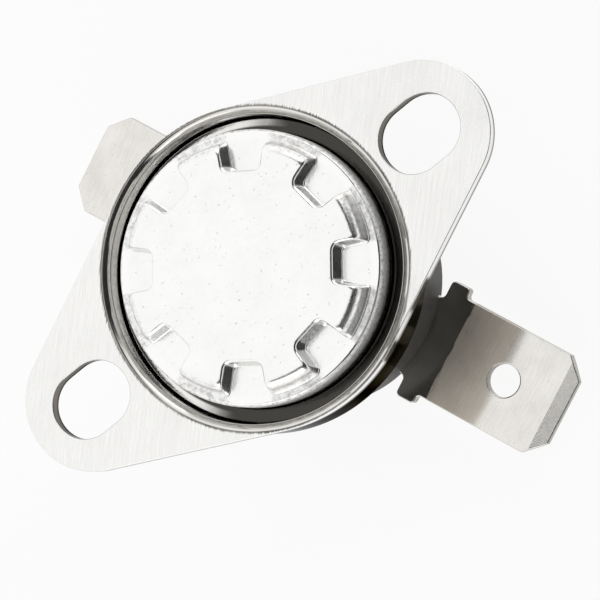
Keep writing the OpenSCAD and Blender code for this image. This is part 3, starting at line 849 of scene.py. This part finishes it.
for name, slot, material, width, body in (
        ("base", "base_phenolic", base_phenolic, 0.08, "housing"),
        ("arm_rivet", "rivet_plating", rivet_plating, 0.06, "housing"),
        ("plate_rivet", "rivet_plating", rivet_plating, 0.06, "housing"),
        ("guide_plate", "guide_phenolic", guide_phenolic, 0.06, "housing"),
        ("bimetal_disc", "bimetal", bimetal, 0.03, "housing"),
        ("contact_plate", "plate_brass", plate_brass, 0.04, "housing"),
        ("fixed_contact", "contact_silver", contact_silver, 0.04, "housing"),
        ("moving_contact", "contact_silver", contact_silver, 0.04, "contact"),
        ("push_pin", "pin_ceramic", pin_ceramic, 0.08, "pin")):
    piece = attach(softened(name, material, width), body)
    if name == "bimetal_disc":
        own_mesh(piece)

bend_places = [ARM_FREE + (ARM_ROOT - ARM_FREE) * i / ARM_CUTS for i in range(ARM_CUTS + 1)]
bend_cuts = [(TAB_AXIS * place, TAB_AXIS) for place in bend_places]
arm = softened("contact_arm", arm_bronze, 0.03, bend_cuts)
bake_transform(arm)


# Camera, floor and light

# Camera fitted to the photo, with lengths in pixels of its width
PICTURE = 600
FOCAL_PX = 3286.4
SENSOR = 36
camera_data = bpy.data.cameras.new("camera")
camera_data.sensor_width = SENSOR
camera_data.lens = SENSOR * FOCAL_PX / PICTURE
camera_data.clip_start = 0.01
camera_data.clip_end = 10
camera = bpy.data.objects.new("camera", camera_data)
right = Vector((0.75869, -0.56519, -0.32396))
up = Vector((0.61095, 0.78992, 0.05267))
back = Vector((0.22613, -0.23788, 0.94461))
place = Matrix((right, up, back)).transposed().to_4x4()
place.translation = Vector((42.004, -46.077, 184.813)) * MM
camera.matrix_world = place
bpy.context.scene.collection.objects.link(camera)
bpy.context.scene.camera = camera

# Share of the floor that shows as plain white, while the rest takes the object's shadow
FLOOR_WHITE = 0.9

# Half the floor's width in metres, and the gap under the object in millimetres that keeps it clear
FLOOR_HALF = 2
FLOOR_GAP = 0.05
floor_mesh = bpy.data.meshes.new("floor")
floor_signs = ((-1, -1), (1, -1), (1, 1), (-1, 1))
floor_mesh.from_pydata([(x * FLOOR_HALF, y * FLOOR_HALF, 0) for x, y in floor_signs], [], [(0, 1, 2, 3)])
floor = bpy.data.objects.new("floor", floor_mesh)
floor.location.z = -FLOOR_GAP * MM
bpy.context.scene.collection.objects.link(floor)
floor_paint, floor_tree, floor_shader, floor_coords = surface("floor_paint", 0.0, Roughness=0.9)
floor_cloud = noise(floor_tree, floor_coords, 60.0, 2.0)
floor_tone = ramp(floor_tree, floor_cloud, (0.3, 0.93), (0.7, 0.95))
floor_tree.links.new(floor_tone, floor_shader.inputs["Base Color"])
floor_rays = add(floor_tree, "ShaderNodeLightPath")
floor_seen = None
for kind in ("Is Camera Ray", "Is Glossy Ray", "Is Transmission Ray"):
    ray = floor_rays.outputs[kind]
    if floor_seen is None:
        floor_seen = ray
        continue
    either = add(floor_tree, "ShaderNodeMath", operation="MAXIMUM")
    floor_tree.links.new(floor_seen, either.inputs[0])
    floor_tree.links.new(ray, either.inputs[1])
    floor_seen = either.outputs[0]
floor_share = add(floor_tree, "ShaderNodeMath", operation="MULTIPLY")
floor_tree.links.new(floor_seen, floor_share.inputs[0])
floor_share.inputs[1].default_value = FLOOR_WHITE
floor_glow = add(floor_tree, "ShaderNodeEmission", Color=(1, 1, 1, 1), Strength=1.0)
floor_mix = add(floor_tree, "ShaderNodeMixShader")
floor_tree.links.new(floor_share.outputs[0], floor_mix.inputs[0])
floor_tree.links.new(floor_shader.outputs[0], floor_mix.inputs[1])
floor_tree.links.new(floor_glow.outputs[0], floor_mix.inputs[2])
floor_tree.links.new(floor_mix.outputs[0], floor_tree.nodes["Material Output"].inputs["Surface"])
floor_mesh.materials.append(floor_paint)


def area_lamp(name, direction, distance, size, power):
    """Square soft light that faces the object from a direction."""
    data = bpy.data.lights.new(name, "AREA")
    data.size = size
    data.energy = power
    lamp = bpy.data.objects.new(name, data)
    towards = Vector(direction).normalized()
    lamp.location = towards * distance
    lamp.rotation_mode = "QUATERNION"
    lamp.rotation_quaternion = towards.to_track_quat("Z", "Y")
    bpy.context.scene.collection.objects.link(lamp)


area_lamp("key", (-0.5, -0.8, 0.6), distance=0.5, size=0.3, power=0.3)
area_lamp("fill", (0.8, 0.5, 0.6), distance=0.5, size=0.3, power=0.25)

world = bpy.data.worlds.new("studio")
bpy.context.scene.world = world
world.use_nodes = True
sky = world.node_tree.nodes["Background"]
sky.inputs["Color"].default_value = (1, 1, 1, 1)
sky.inputs["Strength"].default_value = 1.0

# Screens that the bright metal reflects: their distance in metres, and the headings of camera and card
SCREEN_DISTANCE = 0.6
SCREEN_ROWS = 12
SCREEN_COLUMNS = 24
CAMERA_SIDE = math.atan2(-0.725, 0.689)
CARD_SIDE = math.radians(-103)


def cloth(name, low, high):
    """Matt cloth with a soft weave."""
    material, tree, shader, coords = surface(name, 0.0, Roughness=0.95)
    weave = noise(tree, coords, 2.0, 2.0)
    tree.links.new(ramp(tree, weave, (0.3, low), (0.7, high)), shader.inputs["Base Color"])
    return material


def hang_screen(name, material, heading, half_width, top, bottom):
    """Part of a sphere round the object, between two angles in degrees from straight up."""
    bm = bmesh.new()
    rows = []
    shares = [2 * j / SCREEN_COLUMNS - 1 for j in range(SCREEN_COLUMNS + 1)]
    for i in range(SCREEN_ROWS + 1):
        tilt = math.radians(top + (bottom - top) * i / SCREEN_ROWS)
        turns = [heading + math.radians(half_width * share) for share in shares]
        rows.append([bm.verts.new(Vector((math.sin(tilt) * math.cos(a), math.sin(tilt) * math.sin(a),
                                          math.cos(tilt))) * SCREEN_DISTANCE) for a in turns])
    for upper, lower in zip(rows, rows[1:]):
        for j in range(SCREEN_COLUMNS):
            bm.faces.new((upper[j], upper[j + 1], lower[j + 1], lower[j]))
    mesh = bpy.data.meshes.new(name)
    bm.to_mesh(mesh)
    bm.free()
    mesh.materials.append(material)
    screen = bpy.data.objects.new(name, mesh)
    screen.visible_camera = False
    bpy.context.scene.collection.objects.link(screen)


black_cloth = cloth("black_cloth", 0.025, 0.04)
grey_cloth = cloth("grey_cloth", 0.84, 0.9)
hang_screen("camera_screen", black_cloth, CAMERA_SIDE, half_width=55, top=11, bottom=72)
hang_screen("side_screen", black_cloth, CAMERA_SIDE, half_width=120, top=11, bottom=30)
hang_screen("grey_card", grey_cloth, CARD_SIDE, half_width=40, top=5, bottom=11)

bpy.context.scene.view_settings.view_transform = "Standard"
